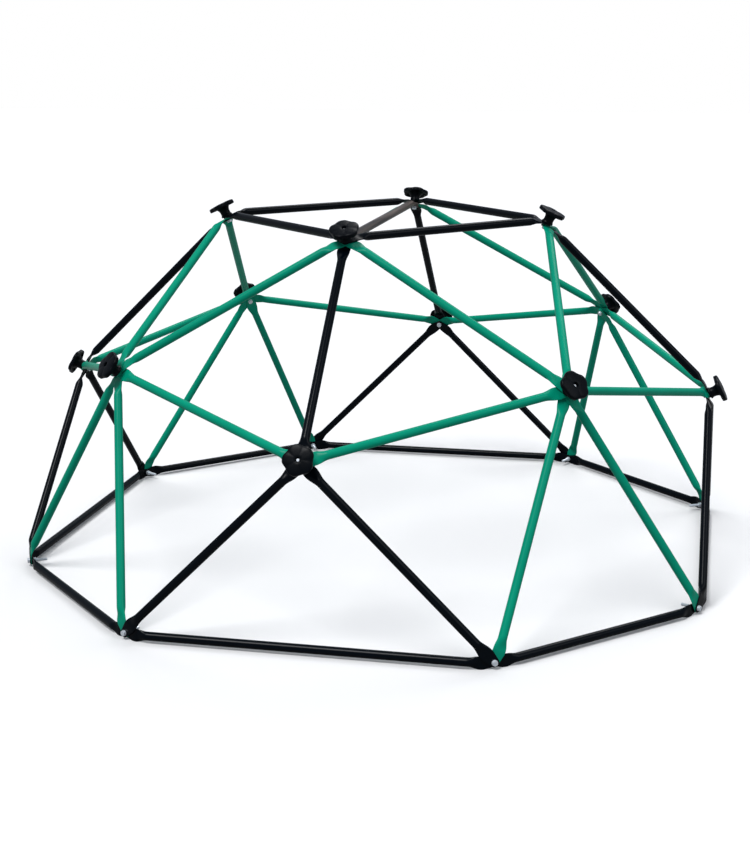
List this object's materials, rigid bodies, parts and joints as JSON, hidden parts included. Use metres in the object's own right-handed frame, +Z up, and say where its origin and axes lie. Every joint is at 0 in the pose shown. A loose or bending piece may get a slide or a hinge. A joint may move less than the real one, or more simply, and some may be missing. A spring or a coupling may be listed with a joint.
{
  "type": "dome climber",
  "caption": "Geodesic climbing frame for a garden: a low dome of straight steel tubes with flattened ends, bolted together at each joint and held by lobed hand knobs.",
  "frame": {"origin": "middle of the base, on the ground", "axes": "+Z up, -Y to the front; the cross bar at the top runs along Y"},
  "size_m": [2.3678, 2.3678, 1.2046],
  "materials": {
    "green_tube": "satin powder coat, green",
    "black_tube": "glossy powder coat, blue-black",
    "grey_tube": "powder coat, brown-grey with dark streaks",
    "knob_plastic": "moulded black plastic, satin",
    "insert_steel": "turned steel",
    "zinc_steel": "bright zinc plating"
  },
  "bodies": {
    "frame": {"top_rail_front_right": "black_tube", "upper_leg_front": "black_tube", "lower_legs_front": "black_tube", "base_rail_front": "black_tube", "upper_braces_front": "green_tube", "middle_rails_front": "green_tube", "lower_braces_front_right": "green_tube", "top_rail_back_right": "black_tube", "upper_leg_right": "black_tube", "lower_legs_right": "black_tube", "base_rail_right": "black_tube", "upper_braces_right": "green_tube", "middle_rails_right": "green_tube", "lower_braces_back_right": "green_tube", "top_rail_back_left": "black_tube", "upper_leg_back": "black_tube", "lower_legs_back": "black_tube", "base_rail_back": "black_tube", "upper_braces_back": "green_tube", "middle_rails_back": "green_tube", "lower_braces_back_left": "green_tube", "top_rail_front_left": "black_tube", "upper_leg_left": "black_tube", "lower_legs_left": "black_tube", "base_rail_left": "black_tube", "upper_braces_left": "green_tube", "middle_rails_left": "green_tube", "lower_braces_front_left": "green_tube", "top_cross_bar": "grey_tube", "base_corner_rails": "black_tube", "upper_bolts": "zinc_steel", "upper_washers": "zinc_steel", "base_bolts": "zinc_steel", "base_nuts": "zinc_steel", "base_washers": "zinc_steel"},
    "knob_insert_top_front": {"knob_insert_top_front": "insert_steel"},
    "knob_top_front": {"knob_top_front": "knob_plastic"},
    "knob_insert_top_right": {"knob_insert_top_right": "insert_steel"},
    "knob_top_right": {"knob_top_right": "knob_plastic"},
    "knob_insert_top_back": {"knob_insert_top_back": "insert_steel"},
    "knob_top_back": {"knob_top_back": "knob_plastic"},
    "knob_insert_top_left": {"knob_insert_top_left": "insert_steel"},
    "knob_top_left": {"knob_top_left": "knob_plastic"},
    "knob_insert_middle_front": {"knob_insert_middle_front": "insert_steel"},
    "knob_middle_front": {"knob_middle_front": "knob_plastic"},
    "knob_insert_middle_right": {"knob_insert_middle_right": "insert_steel"},
    "knob_middle_right": {"knob_middle_right": "knob_plastic"},
    "knob_insert_middle_back": {"knob_insert_middle_back": "insert_steel"},
    "knob_middle_back": {"knob_middle_back": "knob_plastic"},
    "knob_insert_middle_left": {"knob_insert_middle_left": "insert_steel"},
    "knob_middle_left": {"knob_middle_left": "knob_plastic"},
    "knob_insert_middle_front_right": {"knob_insert_middle_front_right": "insert_steel"},
    "knob_middle_front_right": {"knob_middle_front_right": "knob_plastic"},
    "knob_insert_middle_back_right": {"knob_insert_middle_back_right": "insert_steel"},
    "knob_middle_back_right": {"knob_middle_back_right": "knob_plastic"},
    "knob_insert_middle_back_left": {"knob_insert_middle_back_left": "insert_steel"},
    "knob_middle_back_left": {"knob_middle_back_left": "knob_plastic"},
    "knob_insert_middle_front_left": {"knob_insert_middle_front_left": "insert_steel"},
    "knob_middle_front_left": {"knob_middle_front_left": "knob_plastic"}
  },
  "joints": [
    {"name": "travel_top_front", "type": "slide", "parent": "frame", "child": "knob_insert_top_front", "axis": [0, -0.4472, 0.8944], "range_m": [0, 0.01126]},
    {"name": "turn_top_front", "type": "hinge", "parent": "knob_insert_top_front", "child": "knob_top_front", "pos_m": [0, -0.55861, 1.13801], "axis": [0, -0.4472, 0.8944], "range_deg": [0, 2700]},
    {"name": "travel_top_right", "type": "slide", "parent": "frame", "child": "knob_insert_top_right", "axis": [0.4472, 0, 0.8944], "range_m": [0, 0.01126]},
    {"name": "turn_top_right", "type": "hinge", "parent": "knob_insert_top_right", "child": "knob_top_right", "pos_m": [0.55861, 0, 1.13801], "axis": [0.4472, 0, 0.8944], "range_deg": [0, 2700]},
    {"name": "travel_top_back", "type": "slide", "parent": "frame", "child": "knob_insert_top_back", "axis": [0, 0.4472, 0.8944], "range_m": [0, 0.01126]},
    {"name": "turn_top_back", "type": "hinge", "parent": "knob_insert_top_back", "child": "knob_top_back", "pos_m": [0, 0.55861, 1.13801], "axis": [0, 0.4472, 0.8944], "range_deg": [0, 2700]},
    {"name": "travel_top_left", "type": "slide", "parent": "frame", "child": "knob_insert_top_left", "axis": [-0.4472, 0, 0.8944], "range_m": [0, 0.01126]},
    {"name": "turn_top_left", "type": "hinge", "parent": "knob_insert_top_left", "child": "knob_top_left", "pos_m": [-0.55861, 0, 1.13801], "axis": [-0.4472, 0, 0.8944], "range_deg": [0, 2700]},
    {"name": "travel_middle_front", "type": "slide", "parent": "frame", "child": "knob_insert_middle_front", "axis": [0, -0.8944, 0.4472], "range_m": [0, 0.01126]},
    {"name": "turn_middle_front", "type": "hinge", "parent": "knob_insert_middle_front", "child": "knob_middle_front", "pos_m": [0, -1.11723, 0.57939], "axis": [0, -0.8944, 0.4472], "range_deg": [0, 2700]},
    {"name": "travel_middle_right", "type": "slide", "parent": "frame", "child": "knob_insert_middle_right", "axis": [0.8944, 0, 0.4472], "range_m": [0, 0.01126]},
    {"name": "turn_middle_right", "type": "hinge", "parent": "knob_insert_middle_right", "child": "knob_middle_right", "pos_m": [1.11723, 0, 0.57939], "axis": [0.8944, 0, 0.4472], "range_deg": [0, 2700]},
    {"name": "travel_middle_back", "type": "slide", "parent": "frame", "child": "knob_insert_middle_back", "axis": [0, 0.8944, 0.4472], "range_m": [0, 0.01126]},
    {"name": "turn_middle_back", "type": "hinge", "parent": "knob_insert_middle_back", "child": "knob_middle_back", "pos_m": [0, 1.11723, 0.57939], "axis": [0, 0.8944, 0.4472], "range_deg": [0, 2700]},
    {"name": "travel_middle_left", "type": "slide", "parent": "frame", "child": "knob_insert_middle_left", "axis": [-0.8944, 0, 0.4472], "range_m": [0, 0.01126]},
    {"name": "turn_middle_left", "type": "hinge", "parent": "knob_insert_middle_left", "child": "knob_middle_left", "pos_m": [-1.11723, 0, 0.57939], "axis": [-0.8944, 0, 0.4472], "range_deg": [0, 2700]},
    {"name": "travel_middle_front_right", "type": "slide", "parent": "frame", "child": "knob_insert_middle_front_right", "axis": [0.5774, -0.5774, 0.5774], "range_m": [0, 0.01126]},
    {"name": "turn_middle_front_right", "type": "hinge", "parent": "knob_insert_middle_front_right", "child": "knob_middle_front_right", "pos_m": [0.70584, -0.70584, 0.72662], "axis": [0.5774, -0.5774, 0.5774], "range_deg": [0, 2700]},
    {"name": "travel_middle_back_right", "type": "slide", "parent": "frame", "child": "knob_insert_middle_back_right", "axis": [0.5774, 0.5774, 0.5774], "range_m": [0, 0.01126]},
    {"name": "turn_middle_back_right", "type": "hinge", "parent": "knob_insert_middle_back_right", "child": "knob_middle_back_right", "pos_m": [0.70584, 0.70584, 0.72662], "axis": [0.5774, 0.5774, 0.5774], "range_deg": [0, 2700]},
    {"name": "travel_middle_back_left", "type": "slide", "parent": "frame", "child": "knob_insert_middle_back_left", "axis": [-0.5774, 0.5774, 0.5774], "range_m": [0, 0.01126]},
    {"name": "turn_middle_back_left", "type": "hinge", "parent": "knob_insert_middle_back_left", "child": "knob_middle_back_left", "pos_m": [-0.70584, 0.70584, 0.72662], "axis": [-0.5774, 0.5774, 0.5774], "range_deg": [0, 2700]},
    {"name": "travel_middle_front_left", "type": "slide", "parent": "frame", "child": "knob_insert_middle_front_left", "axis": [-0.5774, -0.5774, 0.5774], "range_m": [0, 0.01126]},
    {"name": "turn_middle_front_left", "type": "hinge", "parent": "knob_insert_middle_front_left", "child": "knob_middle_front_left", "pos_m": [-0.70584, -0.70584, 0.72662], "axis": [-0.5774, -0.5774, 0.5774], "range_deg": [0, 2700]}
  ],
  "couplings": [
    {"joint": "travel_top_front", "follows": "turn_top_front", "m_per_rad": 0.00023873},
    {"joint": "travel_top_right", "follows": "turn_top_right", "m_per_rad": 0.00023873},
    {"joint": "travel_top_back", "follows": "turn_top_back", "m_per_rad": 0.00023873},
    {"joint": "travel_top_left", "follows": "turn_top_left", "m_per_rad": 0.00023873},
    {"joint": "travel_middle_front", "follows": "turn_middle_front", "m_per_rad": 0.00023873},
    {"joint": "travel_middle_right", "follows": "turn_middle_right", "m_per_rad": 0.00023873},
    {"joint": "travel_middle_back", "follows": "turn_middle_back", "m_per_rad": 0.00023873},
    {"joint": "travel_middle_left", "follows": "turn_middle_left", "m_per_rad": 0.00023873},
    {"joint": "travel_middle_front_right", "follows": "turn_middle_front_right", "m_per_rad": 0.00023873},
    {"joint": "travel_middle_back_right", "follows": "turn_middle_back_right", "m_per_rad": 0.00023873},
    {"joint": "travel_middle_back_left", "follows": "turn_middle_back_left", "m_per_rad": 0.00023873},
    {"joint": "travel_middle_front_left", "follows": "turn_middle_front_left", "m_per_rad": 0.00023873}
  ]
}
